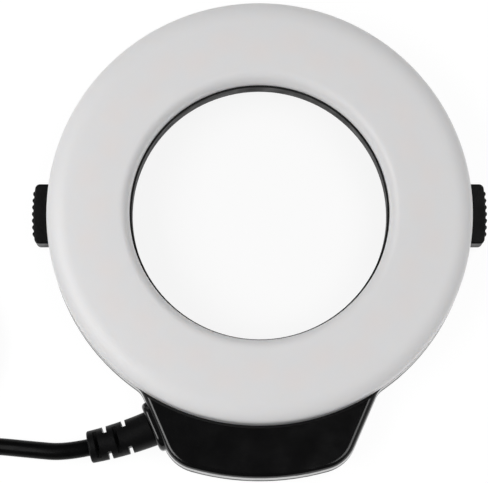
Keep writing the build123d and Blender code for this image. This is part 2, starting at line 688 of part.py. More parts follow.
def board_connector():
    """Two way connector under the board's tab."""
    length, width, height = CONNECTOR
    body = block(-length / 2, length / 2, CONNECTOR_Y - width / 2, CONNECTOR_Y + width / 2, BOARD_Z - height, BOARD_Z)
    return body


def screw(head_r, head_t, shank_r, shank_length):
    """Screw with its head's underside at the origin and its shank along +Z."""
    head = fillet(rod(head_r, -head_t, 0).edges().group_by(Axis.Z)[0], head_t / 3)
    shank = rod(shank_r, 0, shank_length)
    slot = block(-head_r, head_r, -head_r / 8, head_r / 8, -head_t - 1, -head_t * 0.6)
    return head + shank - slot


def housing_screws():
    """Screws from behind through the rear shell into the front shell."""
    one = Pos(0, 0, HEAD_RECESS + HEAD_T) * screw(HEAD_R, HEAD_T, SHANK_R, SHANK_LENGTH)
    return Compound(children=[place * one for place in housing_screw_places()])


def small_screws(z, radius, angles):
    """Small screws pointing down through a layer whose top is at z."""
    one = Pos(0, 0, z) * Rot(180, 0, 0) * screw(SMALL_HEAD_R, SMALL_HEAD_T, SMALL_SHANK_R, SMALL_SHANK_LENGTH)
    return Compound(children=[place * one for place in polar(radius, angles)])


def relief_line():
    """Centre line of the bent part of the strain relief."""
    ends = [relief_place(RELIEF_LENGTH * share).position for share in (0, 0.5, 1)]
    return ThreePointArc(*ends)


def strain_relief():
    """Segmented strain relief: bent taper with staggered slots, neck in the wall and inner flange."""
    frame = relief_frame()
    outer_face = flank_frame().offset(flare(COLLAR_Z) + COLLAR_PROUD)
    inner_face = flank_frame().offset(-HOUSING_WALL - RELIEF_FIT)
    r0 = RELIEF_ROOT_D / 2
    r1 = RELIEF_TIP_D / 2
    shares = [i / RELIEF_STATIONS for i in range(RELIEF_STATIONS + 1)]
    body = loft([relief_place(RELIEF_LENGTH * f) * Circle(r0 + (r1 - r0) * f) for f in shares])
    body = fillet(body.faces().sort_by(Axis(frame.origin, frame.z_dir))[-1].edges(), RELIEF_TIP_ROUND)
    body += frame * Pos(0, 0, -2) * Cylinder(r0, 2, align=STAND)
    for i in range(RELIEF_SLOTS):
        t = RELIEF_SLOT_FIRST + i * RELIEF_SLOT_PITCH
        radius = r0 + (r1 - r0) * t / RELIEF_LENGTH
        floor = radius - RELIEF_SLOT_DEPTH
        gap = Box(RELIEF_ROOT_D, 2 * r0, RELIEF_SLOT_WIDTH, align=(Align.MIN, Align.CENTER, Align.CENTER))
        turn = 90 * (i % 2)
        for angle in (turn, turn + 180):
            body -= relief_place(t) * Rot(0, 0, angle) * Pos(floor, 0, 0) * gap
    outside = body - outer_face * half_space(Align.MAX)
    thick = CORE_TAIL - RELIEF_FLANGE_T
    flange = frame * Pos(0, 0, -thick) * Cylinder(r0, thick, align=STAND) - inner_face * half_space(Align.MIN)
    flange &= chin_layer(RELIEF_FIT)
    neck = frame * Pos(0, 0, -thick) * Cylinder(RELIEF_NECK_D / 2, thick + 2, align=STAND)
    return outside + flange + neck - jacket(CABLE_R + RELIEF_FIT / 2, RELIEF_FIT)


def jacket(radius, beyond):
    """Round bar along the strain relief, straight in the chin and bent outside it."""
    frame = relief_frame()
    inside = frame * Pos(0, 0, -CORE_TAIL) * Cylinder(radius, CORE_TAIL, align=STAND)
    bent = sweep(frame * Circle(radius), path=relief_line())
    tip = relief_place(RELIEF_LENGTH)
    body = inside + bent
    return body + tip * Cylinder(radius, beyond, align=STAND) if beyond else body


def cable_core():
    """Cable's jacket inside the strain relief, up to its cut end in the chin."""
    return jacket(CABLE_R, 0)


def supply_wires():
    """Two wires from the cable's cut end to the board's connector."""
    frame = relief_frame()
    length, _, height = CONNECTOR
    wires = []
    for side in (-1, 1):
        start = (frame * Pos(side * WIRE_SPREAD, 0, -CORE_TAIL)).position
        ahead = (frame * Pos(side * WIRE_SPREAD, 0, -CORE_TAIL - WIRE_RUN)).position
        end = Vector(-length / 2, CONNECTOR_Y + side * WIRE_SPREAD, BOARD_Z - height / 2)
        path = FilletPolyline([start, ahead, end - Vector(WIRE_RUN, 0, 0), end], radius=2 * WIRE_R)
        wires.append(sweep(Plane(origin=path @ 0, z_dir=path % 0) * Circle(WIRE_R), path=path))
    return Compound(children=wires)


def cable_route():
    """Corners of the free cable, from the strain relief to the first turn of the coil."""
    tip = relief_place(RELIEF_LENGTH)
    first = tip.position
    second = (tip * Pos(0, 0, FIRST_RUN)).position
    last = Vector(COIL_CENTRE_X, COIL_CENTRE_Y - COIL_START_R, COIL_Z)
    return [first, second] + [Vector(*p) for p in CABLE_POINTS] + [last + Vector(LAST_RUN, 0, 0), last]


def corner_radii(points):
    """Largest arc for each inner corner, 0.45 of the shorter run over the tangent of half the turn."""
    radii = []
    for a, b, c in zip(points, points[1:], points[2:]):
        turn = (b - a).get_angle(c - b)
        run = min((b - a).length, (c - b).length)
        radii.append(0.45 * run / math.tan(math.radians(turn / 2)))
    return radii


def free_cable():
    """Free stretch of the cable: straight runs joined by tangent arcs."""
    points = cable_route()
    radii = corner_radii(points)
    path = FilletPolyline(points, radius=radii)
    body = sweep(Plane(origin=path @ 0, z_dir=path % 0) * Circle(CABLE_R), path=path)
    print("cable arcs mm", [round(r, 1) for r in radii], "length", round(path.length, 1))
    print("cable volume over section times length", round(body.volume / (math.pi * CABLE_R**2 * path.length), 4))
    return body


def biarc(p0, t0, p1, t1):
    """Two tangent arcs from p0 along t0 to p1 along t1."""
    v = p1 - p0
    along = v.dot(t0 + t1)
    spread = 2 * (1 - t0.dot(t1))
    d = (math.sqrt(along**2 + spread * v.dot(v)) - along) / spread
    middle = (p0 + p1 + (t0 - t1) * d) * 0.5
    first = TangentArc(p0, middle, tangent=t0)
    second = TangentArc(p1, middle, tangent=t1 * -1)
    return [first, second]


def coil_stations():
    """Half turn stations as (side, radius, height), side -1 at the bottom and 1 at the top."""
    stations = []
    half_step = COIL_TURN_STEP / 2
    for i in range(2 * COIL_TURNS + 1):
        stations.append((-1 if i % 2 == 0 else 1, COIL_START_R - i * half_step, COIL_Z))
    inner = stations[-1][1]
    for i in range(2 * COIL_TURNS):
        stations.append((1 if i % 2 == 0 else -1, inner + i * half_step, PLUG_Z))
    return stations


def coil_edges():
    """Centre line of the coil: two turns in, a climb of half a turn, and back out to the left side."""
    centre = Vector(COIL_CENTRE_X, COIL_CENTRE_Y)
    stations = coil_stations()
    edges = []
    for (s0, r0, z0), (s1, r1, z1) in zip(stations, stations[1:]):
        p0 = centre + Vector(0, s0 * r0, z0)
        p1 = centre + Vector(0, s1 * r1, z1)
        t0 = Vector(s0, 0)
        t1 = Vector(s1, 0)
        if z0 == z1:
            edges += biarc(p0, t0, p1, t1)
        else:
            side = centre + Vector(-(r0 + r1) / 2 + COIL_DIP, 0, (z0 + z1) / 2)
            slope = Vector(0, r0 + r1, z1 - z0).normalized()
            edges += biarc(p0, t0, side, slope) + biarc(side, slope, p1, t1)
    side, radius, z = stations[-1]
    foot = centre + Vector(0, side * radius, z)
    left = centre + Vector(-radius - COIL_TURN_STEP / 4, 0, z)
    edges += biarc(foot, Vector(-1, 0), left, Vector(0, 1))
    edges.append(Line(left, left + Vector(0, COIL_TAIL)))
    return edges


def cable_coil():
    """Coil of the cable's unseen length, one unbroken tube."""
    edges = coil_edges()
    path = Wire(edges)
    body = sweep(Plane(origin=path @ 0, z_dir=path % 0) * Circle(CABLE_R), path=path)
    spacing = 1.5
    count = int(path.length / spacing)
    points = [path @ (i / count) for i in range(count + 1)]
    skip = int(4 * CABLE_D / spacing)
    gap = min((a - b).length for i, a in enumerate(points) for b in points[i + skip:]) - CABLE_D
    print("coil length mm", round(path.length, 1), "least gap", round(gap, 2))
    print("coil volume over section times length", round(body.volume / (math.pi * CABLE_R**2 * path.length), 4))
    return body


def cable_tie():
    """Flat tie round all the turns of the coil, with its closed head on top."""
    inner = COIL_START_R - COIL_TURNS * COIL_TURN_STEP - CABLE_R - TIE_FIT - CABLE_R / 2
    outer = COIL_START_R + CABLE_R + TIE_FIT
    height = COIL_LAYER_STEP + CABLE_D + 2 * TIE_FIT
    middle = (inner + outer) / 2
    width = outer - inner
    hole = RectangleRounded(width, height, CABLE_R)
    band = RectangleRounded(width + 2 * TIE_T, height + 2 * TIE_T, CABLE_R + TIE_T) - hole
    centre_z = TIE_T + height / 2
    loop = extrude(Plane.XZ * Pos(middle, centre_z) * band, TIE_WIDTH / 2, both=True)
    top = centre_z + height / 2 + TIE_T / 2
    half = TIE_WIDTH / 2
    head = block(middle - TIE_HEAD_LENGTH / 2, middle + TIE_HEAD_LENGTH / 2, -half, half, top, top + TIE_HEAD_T)
    head = fillet(head.edges().group_by(Axis.Z)[-1], TIE_T)
    return Pos(COIL_CENTRE_X, COIL_CENTRE_Y) * Rot(0, 0, TIE_ANGLE) * (loop + head)


def plug_place():
    """Frame at the cable's end, with Z along the plug."""
    left = COIL_CENTRE_X - coil_stations()[-1][1] - COIL_TURN_STEP / 4
    return Plane(origin=(left, COIL_CENTRE_Y + COIL_TAIL, PLUG_Z), x_dir=(1, 0, 0), z_dir=(0, 1, 0))


def plug_body():
    """Moulded plug body with its tapered boot."""
    t1 = PLUG_TAPER_LENGTH
    t2 = t1 + PLUG_LENGTH
    boot = ring_of([(0, 0), (CABLE_R + PLUG_TAPER_WALL, 0), (PLUG_NECK_R, t1 + 1), (0, t1 + 1)])
    body = rod(PLUG_Z, t1, t2)
    body = fillet(body.edges().filter_by(GeomType.CIRCLE), PLUG_ROUND)
    groove = tube(PLUG_Z + 1, PLUG_Z - PLUG_GROOVE_DEPTH, 0, PLUG_GROOVE_WIDTH)
    for i in range(PLUG_GROOVES):
        body -= Pos(0, 0, t1 + PLUG_GROOVE_FIRST + i * PLUG_GROOVE_PITCH) * groove
    socket = rod(PLUG_SHELL_R - PLUG_SHELL_T / 2, t2 - PLUG_SHELL_ROOT, t2 + 1)
    return plug_place() * (boot + body - socket)


def plug_shell():
    """Metal skirt of the plug, with a root of half its wall in the moulding."""
    t = PLUG_TAPER_LENGTH + PLUG_LENGTH
    inner = PLUG_SHELL_R - PLUG_SHELL_T
    waist = PLUG_SHELL_R - PLUG_SHELL_T / 2
    root = tube(waist, inner, t - PLUG_SHELL_ROOT, t)
    return plug_place() * (root + tube(PLUG_SHELL_R, inner, t, t + PLUG_SHELL_LENGTH))


def plug_insulator():
    """Insulating core of the plug."""
    t = PLUG_TAPER_LENGTH + PLUG_LENGTH
    body = rod(PLUG_SHELL_R - PLUG_SHELL_T, t - PLUG_SHELL_ROOT, t + PLUG_CORE_RECESS)
    for place in pin_places():
        body -= place * rod(PIN_R, t - PIN_ROOT, t + PLUG_SHELL_LENGTH)
    return plug_place() * body


def pin_places():
    """Places of the plug's pins on their arc."""
    first = 90 - PIN_STEP_ANGLE * (PIN_COUNT - 1) / 2
    return polar(PIN_CIRCLE_R, [first + PIN_STEP_ANGLE * i for i in range(PIN_COUNT)])


def plug_pins():
    """Contact pins of the plug."""
    t = PLUG_TAPER_LENGTH + PLUG_LENGTH
    pin = rod(PIN_R, t - PIN_ROOT, t + PLUG_CORE_RECESS + PIN_LENGTH)
    pin = fillet(pin.edges().group_by(Axis.Z)[-1], PIN_R / 2)
    return Compound(children=[plug_place() * place * pin for place in pin_places()])


def turned(shape):
    """The same piece on the other side of the bore."""
    return Rot(0, 0, 180) * shape


def nodes():
    """Every named piece of the light."""
    whole = housing_block()
    latch = slider()
    cap = grip()
    coil_spring = spring()
    return {
        "rear_housing": rear_housing(whole),
        "front_housing": front_housing(whole),
        "chassis_plate": chassis(),
        "diffuser": diffuser(),
        "reflector_tray": reflector_tray(),
        "led_board": led_board(),
        "led_packages": led_packages(),
        "led_phosphors": led_phosphors(),
        "board_components": board_components(),
        "board_connector": board_connector(),
        "latch_slider_left": latch,
        "latch_slider_right": turned(latch),
        "latch_grip_left": cap,
        "latch_grip_right": turned(cap),
        "latch_spring_left": coil_spring,
        "latch_spring_right": turned(coil_spring),
        "housing_screws": housing_screws(),
        "chassis_screws": small_screws(CHASSIS_TOP, POST_SCREW_R, POST_SCREW_ANGLES),
        "board_screws": small_screws(BOARD_TOP, BOARD_SCREW_R, BOARD_SCREW_ANGLES),
        "strain_relief": strain_relief(),
        "cable_core": cable_core(),
        "supply_wires": supply_wires(),
        "cable": free_cable(),
        "cable_coil": cable_coil(),
        "cable_tie": cable_tie(),
        "plug_body": plug_body(),
        "plug_shell": plug_shell(),
        "plug_insulator": plug_insulator(),
        "plug_pins": plug_pins(),
    }


def main():
    os.makedirs("parts", exist_ok=True)
    for name, shape in nodes().items():
        export_step(shape, f"parts/{name}.step")


main()
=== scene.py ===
"""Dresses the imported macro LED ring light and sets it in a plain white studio."""

import json
import logging
import math
from collections.abc import Callable
from dataclasses import dataclass, field
from enum import Enum

import bmesh
import bpy
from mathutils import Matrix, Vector


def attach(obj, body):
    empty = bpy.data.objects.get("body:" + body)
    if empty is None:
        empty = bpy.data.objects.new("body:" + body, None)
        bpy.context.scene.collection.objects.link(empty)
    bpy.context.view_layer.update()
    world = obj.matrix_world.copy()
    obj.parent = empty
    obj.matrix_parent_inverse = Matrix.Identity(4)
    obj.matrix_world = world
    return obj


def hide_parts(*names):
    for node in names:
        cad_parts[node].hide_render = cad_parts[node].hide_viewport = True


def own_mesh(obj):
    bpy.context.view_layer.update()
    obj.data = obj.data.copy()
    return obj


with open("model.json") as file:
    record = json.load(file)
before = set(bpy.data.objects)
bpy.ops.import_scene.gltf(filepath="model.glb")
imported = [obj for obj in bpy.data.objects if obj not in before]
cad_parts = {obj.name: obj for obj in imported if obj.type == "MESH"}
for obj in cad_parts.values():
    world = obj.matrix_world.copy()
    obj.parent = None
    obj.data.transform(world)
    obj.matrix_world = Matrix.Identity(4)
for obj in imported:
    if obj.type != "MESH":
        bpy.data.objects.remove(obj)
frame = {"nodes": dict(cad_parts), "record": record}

log = logging.getLogger("ring_light")

MM = 0.001  # one millimetre in metres
NEAR = 0.01  # millimetres within which a point counts as in its place
SMOOTH_ANGLE = 35.0  # largest angle in degrees between faces that shade as one
NOISE_LOW = 0.3  # most of a noise lies between these two
NOISE_HIGH = 0.7

Colour = tuple[float, float, float]
Point = tuple[float, float, float]
Corner = tuple[float, float]
Socket = bpy.types.NodeSocket


class Grain(Enum):
    """Surface that a tool or a die leaves on a piece."""

    POLISHED = "polished"
    SPARKED = "sparked"
    EXTRUDED = "extruded"


class Kind(Enum):
    """Operation of a Math node."""

    ADD = "ADD"
    SUBTRACT = "SUBTRACT"
    MULTIPLY = "MULTIPLY"
    DIVIDE = "DIVIDE"
    SQRT = "SQRT"
    COSINE = "COSINE"
    ANGLE = "ARCTAN2"
    MAXIMUM = "MAXIMUM"


class Part(Enum):
    """Sort of mesh part that a step selects."""

    CORNER = "VERT"
    EDGE = "EDGE"
    FACE = "FACE"


class Graph:
    """Node tree of one material, built by short calls on Object coordinates."""

    def __init__(self, name: str) -> None:
        """Starts an empty tree with a Principled shader on the output.

        Args:
            name: Name of the material.
        """
        self.material = bpy.data.materials.new(name)
        self.material.use_nodes = True
        self.tree = self.material.node_tree
        self.tree.nodes.clear()
        output = self.tree.nodes.new("ShaderNodeOutputMaterial")
        self.shader = self.tree.nodes.new("ShaderNodeBsdfPrincipled")
        self.tree.links.new(self.shader.outputs["BSDF"], output.inputs["Surface"])
        self.place = self.tree.nodes.new("ShaderNodeTexCoord").outputs["Object"]

    def _feed(self, target: Socket, value: object) -> None:
        """Links or sets one input.

        Args:
            target: The input socket.
            value: A number, a colour or an output socket.
        """
        if isinstance(value, Socket):
            self.tree.links.new(value, target)
        elif isinstance(value, tuple) and target.type == "RGBA":
            target.default_value = (*value, 1.0)
        else:
            target.default_value = value

    def set(self, socket: str, value: object) -> None:
        """Gives the shader's socket a value, or links it to a node's socket.

        Args:
            socket: Name of the shader's input.
            value: A number, a colour or an output socket.
        """
        self._feed(self.shader.inputs[socket], value)

    def number(self, kind: Kind, a: object, b: object = 0.0) -> Socket:
        """Adds a Math node.

        Args:
            kind: The operation.
            a: First number or socket.
            b: Second number or socket.

        Returns:
            The node's output.
        """
        node = self.tree.nodes.new("ShaderNodeMath")
        node.operation = kind.value
        self._feed(node.inputs[0], a)
        self._feed(node.inputs[1], b)
        return node.outputs[0]

    def axes(self) -> tuple[Socket, ...]:
        """Returns the x, y and z sockets of the Object coordinates."""
        node = self.tree.nodes.new("ShaderNodeSeparateXYZ")
        self.tree.links.new(self.place, node.inputs[0])
        return tuple(node.outputs)

    def distance(self, x: Socket, y: Socket) -> Socket:
        """Distance of a point from the Z axis, which is the axis of the bore.

        Args:
            x: Its x socket.
            y: Its y socket.

        Returns:
            The distance in metres.
        """
        squares = self.number(Kind.ADD, self.number(Kind.MULTIPLY, x, x), self.number(Kind.MULTIPLY, y, y))
        return self.number(Kind.SQRT, squares)

    def noise(self, size: float, detail: float = 2.0, stretch: Point = (1, 1, 1)) -> Socket:
        """Adds a noise whose features have a real size.

        Args:
            size: Size of a feature in metres.
            detail: Number of finer layers.
            stretch: Scale along each axis.

        Returns:
            The noise from 0 to 1.
        """
        mapping = self.tree.nodes.new("ShaderNodeMapping")
        mapping.inputs["Scale"].default_value = stretch
        self.tree.links.new(self.place, mapping.inputs["Vector"])
        node = self.tree.nodes.new("ShaderNodeTexNoise")
        node.inputs["Scale"].default_value = 1 / size
        node.inputs["Detail"].default_value = detail
        self.tree.links.new(mapping.outputs["Vector"], node.inputs["Vector"])
        return node.outputs["Fac"]

    def span(self, value: object, low: float, high: float, start: float, end: float) -> Socket:
        """Maps a range onto another, clamped.

        Args:
            value: Socket to map.
            low: Where the range starts.
            high: Where the range ends.
            start: What low becomes.
            end: What high becomes.

        Returns:
            The mapped number.
        """
        node = self.tree.nodes.new("ShaderNodeMapRange")
        self._feed(node.inputs["Value"], value)
        for name, number in (("From Min", low), ("From Max", high), ("To Min", start), ("To Max", end)):
            node.inputs[name].default_value = number
        return node.outputs["Result"]

    def spread(self, noise: Socket, start: float, end: float) -> Socket:
        """Maps the part of a noise that holds most of it onto another range.

        Args:
            noise: The noise.
            start: What its low end becomes.
            end: What its high end becomes.

        Returns:
            The mapped number.
        """
        return self.span(noise, NOISE_LOW, NOISE_HIGH, start, end)

    def mix(self, factor: object, first: object, second: object) -> Socket:
        """Mixes two colours.

        Args:
            factor: Share of the second colour.
            first: Colour or socket at 0.
            second: Colour or socket at 1.

        Returns:
            The mixed colour.
        """
        node = self.tree.nodes.new("ShaderNodeMix")
        node.data_type = "RGBA"
        self._feed(node.inputs["Factor"], factor)
        self._feed(node.inputs[6], first)
        self._feed(node.inputs[7], second)
        return node.outputs[2]

    def bump(self, height: object, depth: float, strength: float = 1.0) -> None:
        """Gives the shader a bump.

        Args:
            height: Height from 0 to 1.
            depth: Height of the bump in metres.
            strength: Strength from 0 to 1.
        """
        node = self.tree.nodes.new("ShaderNodeBump")
        node.inputs["Strength"].default_value = strength
        node.inputs["Distance"].default_value = depth
        self._feed(node.inputs["Height"], height)
        self.tree.links.new(node.outputs["Normal"], self.shader.inputs["Normal"])


@dataclass(frozen=True)
class Moulding:
    """Moulded or extruded plastic or rubber, with its grain and slight unevenness."""

    name: str
    colour: Colour
    roughness: float
    grain: Grain = Grain.SPARKED
    uneven: float = 0.18
    specular: float = 0.5
    grain_size: float = 0.35 * MM
    grain_height: float = 0.012 * MM
    cloud_size: float = 14 * MM
    smear_size: float = 5 * MM
    smear_share: float = 0.25
    wave_size: float = 6 * MM
    wave_height: float = 0.02 * MM
    die_mark_size: float = 1.2 * MM

    def build(self) -> bpy.types.Material:
        """Makes the material.

        Returns:
            The material.
        """
        graph = Graph(self.name)
        cloud = graph.noise(self.cloud_size, 3.0)
        darker = tuple(c * (1 - self.uneven) for c in self.colour)
        lighter = tuple(c * (1 + self.uneven) for c in self.colour)
        graph.set("Base Color", graph.mix(graph.spread(cloud, 0.0, 1.0), darker, lighter))
        along = (1, 3, 1) if self.grain is Grain.EXTRUDED else (1, 1, 1)
        smear = graph.noise(self.smear_size, 4.0, along)
        away = self.smear_share * self.roughness
        graph.set("Roughness", graph.spread(smear, self.roughness - away, self.roughness + away))
        graph.set("Specular IOR Level", self.specular)
        if self.grain is Grain.POLISHED:
            graph.bump(graph.noise(self.wave_size, 1.0), self.wave_height, 0.5)
        elif self.grain is Grain.EXTRUDED:
            graph.bump(graph.noise(self.die_mark_size, 3.0), self.grain_height)
        else:
            graph.bump(graph.noise(self.grain_size, 3.0), self.grain_height)
        return graph.material


@dataclass(frozen=True)
class OpalAcrylic:
    """Milky cover, with the warm ghosts of the diodes behind it."""

    name: str = "opal_acrylic"
    colour: Colour = (0.812, 0.808, 0.812)
    warm: Colour = (0.826, 0.80, 0.795)
    rows: tuple[tuple[float, float], ...] = ((45.2 * MM, 1.0), (48.5 * MM, -1.0))
    per_row: float = 16.0
    ghost_width: float = 4.2 * MM
    ghost_start: float = -0.4
    ghost_floor_z: float = 16.0 * MM
    ghost_fade: float = 2 * MM
    roughness: tuple[float, float] = (0.35, 0.39)
    haze_size: float = 8 * MM
    specular: float = 0.3
    milkiness: float = 0.35
    milk_colour: Colour = (1.0, 0.9, 0.8)
    milk_depth: float = 1.2 * MM
    ripple_size: float = 3 * MM
    ripple_height: float = 0.01 * MM

    def ghosts(self, graph: Graph) -> Socket:
        """Spots of the diodes on the cover's face, in two staggered rows.

        Args:
            graph: Nodes of the material.

        Returns:
            How strongly a diode shows.
        """
        x, y, z = graph.axes()
        radius = graph.distance(x, y)
        angle = graph.number(Kind.MULTIPLY, graph.number(Kind.ANGLE, y, x), self.per_row)
        turn = graph.number(Kind.COSINE, angle)
        total = 0.0
        for row_radius, sign in self.rows:
            off = graph.number(Kind.SUBTRACT, radius, row_radius)
            away = graph.number(Kind.DIVIDE, off, self.ghost_width)
            dome = graph.number(Kind.SUBTRACT, 1.0, graph.number(Kind.MULTIPLY, away, away))
            bell = graph.number(Kind.MAXIMUM, dome, 0.0)
            beat = graph.span(graph.number(Kind.MULTIPLY, turn, sign), self.ghost_start, 1.0, 0.0, 1.0)
            total = graph.number(Kind.ADD, total, graph.number(Kind.MULTIPLY, bell, beat))
        on_face = graph.span(z, self.ghost_floor_z, self.ghost_floor_z + self.ghost_fade, 0.0, 1.0)
        return graph.number(Kind.MULTIPLY, total, on_face)

    def build(self) -> bpy.types.Material:
        """Makes the material.

        Returns:
            The material.
        """
        graph = Graph(self.name)
        graph.set("Base Color", graph.mix(self.ghosts(graph), self.colour, self.warm))
        graph.set("Roughness", graph.spread(graph.noise(self.haze_size, 1.0), *self.roughness))
        graph.set("Specular IOR Level", self.specular)
        graph.set("Subsurface Weight", self.milkiness)
        graph.set("Subsurface Radius", self.milk_colour)
        graph.set("Subsurface Scale", self.milk_depth)
        graph.bump(graph.noise(self.ripple_size, 2.0), self.ripple_height, 0.4)
        return graph.material


@dataclass(frozen=True)
class Metal:
    """Plated or drawn metal with fine marks along one axis."""

    name: str
    colour: Colour
    roughness: float
    marks: Point = (1, 12, 12)
    mark_size: float = 2 * MM
    mark_depth: float = 0.004 * MM
    dull_share: float = 0.8
    rough_shares: tuple[float, float] = (0.75, 1.3)

    def build(self) -> bpy.types.Material:
        """Makes the material.

        Returns:
            The material.
        """
        graph = Graph(self.name)
        lines = graph.noise(self.mark_size, 4.0, self.marks)
        dull = tuple(self.dull_share * c for c in self.colour)
        graph.set("Base Color", graph.mix(graph.spread(lines, 0.0, 1.0), dull, self.colour))
        least, most = (share * self.roughness for share in self.rough_shares)
        graph.set("Roughness", graph.spread(lines, least, most))
        graph.set("Metallic", 1.0)
        graph.bump(lines, self.mark_depth, 0.5)
        return graph.material


@dataclass(frozen=True)
class SolderMask:
    """Lacquered circuit board, with pale rings of copper under the lacquer."""

    name: str = "solder_mask"
    colour: Colour = (0.02, 0.16, 0.06)
    copper: Colour = (0.06, 0.27, 0.10)
    track_pitch: float = 1.7 * MM
    track_height: float = 0.03 * MM
    track_edge: tuple[float, float] = (0.2, 0.35)
    lacquer_edge: tuple[float, float] = (0.1, 0.4)
    roughness: tuple[float, float] = (0.28, 0.4)
    haze_size: float = 4 * MM

    def build(self) -> bpy.types.Material:
        """Makes the material.

        Returns:
            The material.
        """
        graph = Graph(self.name)
        x, y, _ = graph.axes()
        rings = graph.number(Kind.MULTIPLY, graph.distance(x, y), math.tau / self.track_pitch)
        tracks = graph.number(Kind.COSINE, rings)
        bare = graph.span(tracks, *self.track_edge, 0.0, 1.0)
        graph.set("Base Color", graph.mix(bare, self.colour, self.copper))
        graph.set("Roughness", graph.spread(graph.noise(self.haze_size), *self.roughness))
        graph.bump(graph.span(tracks, *self.lacquer_edge, 0.0, 1.0), self.track_height, 0.6)
        return graph.material


FINISHES = {
    "black_shell": Moulding("black_shell", (0.006, 0.006, 0.0062), 0.45, specular=0.15),
    "black_gloss": Moulding("black_gloss", (0.003, 0.003, 0.0032), 0.16, Grain.POLISHED),
    "black_inner": Moulding("black_inner", (0.016, 0.016, 0.0162), 0.5, specular=0.09),
    "milky": OpalAcrylic(),
    "white_tray": Moulding("white_tray", (0.86, 0.86, 0.85), 0.3, uneven=0.02),
    "board": SolderMask(),
    "led_body": Moulding("led_body", (0.86, 0.85, 0.82), 0.35, uneven=0.03),
    "phosphor": Moulding("phosphor", (0.86, 0.66, 0.12), 0.25, Grain.POLISHED, uneven=0.06),
    "chip": Moulding("chip", (0.02, 0.02, 0.02), 0.5),
    "connector": Moulding("connector", (0.8, 0.76, 0.66), 0.4, uneven=0.04),
    "slider": Moulding("slider", (0.03, 0.03, 0.031), 0.36),
    "grip": Moulding(
        "grip", (0.0045, 0.0045, 0.0047), 0.44, specular=0.13, grain_size=0.5 * MM, grain_height=0.08 * MM
    ),
    "spring_steel": Metal("spring_steel", (0.55, 0.55, 0.56), 0.28),
    "screw_steel": Metal("screw_steel", (0.12, 0.12, 0.125), 0.36),
    "relief_rubber": Moulding(
        "relief_rubber", (0.004, 0.004, 0.0042), 0.42, specular=0.1, grain_size=0.3 * MM
    ),
    "cable_jacket": Moulding("cable_jacket", (0.003, 0.003, 0.0032), 0.3, Grain.EXTRUDED, specular=0.06),
    "wire_red": Moulding("wire_red", (0.45, 0.02, 0.015), 0.4, Grain.EXTRUDED),
    "tie": Moulding("tie", (0.02, 0.02, 0.02), 0.45),
    "plug_moulding": Moulding("plug_moulding", (0.013, 0.013, 0.0132), 0.42),
    "plug_metal": Metal("plug_metal", (0.66, 0.65, 0.62), 0.2),
    "plug_plastic": Moulding("plug_plastic", (0.02, 0.02, 0.02), 0.35),
    "pin_metal": Metal("pin_metal", (0.75, 0.66, 0.42), 0.2),
}


class Dresser:
    """Keeps one material for each slot of the record and gives it to pieces."""

    def __init__(self) -> None:
        """Reads which slot each CAD node has."""
        self.slots = {part["node"]: part["material_slot"] for part in frame["record"]["subparts"]}
        self.made: dict[str, bpy.types.Material] = {}

    def material(self, slot: str) -> bpy.types.Material:
        """Returns the slot's material, made at its first use.

        Args:
            slot: Name of the record's slot.

        Returns:
            The material.
        """
        if slot not in self.made:
            self.made[slot] = FINISHES[slot].build()
        return self.made[slot]

    def node(self, name: str) -> None:
        """Gives a CAD node the finish of its slot.

        Args:
            name: Name of the node.
        """
        piece = frame["nodes"][name]
        if not piece.material_slots:
            piece.data.materials.append(None)
        for place in piece.material_slots:
            place.material = self.material(self.slots[name])
        log.info("dressed %s as %s", name, self.slots[name])

    def piece(self, piece: bpy.types.Object, slot: str) -> None:
        """Gives a new piece the finish of a slot and logs the slot's name.

        Args:
            piece: The piece.
            slot: Name of the record's slot.
        """
        piece.data.materials.clear()
        piece.data.materials.append(self.material(slot))
        log.info("built %s as %s", piece.name, slot)


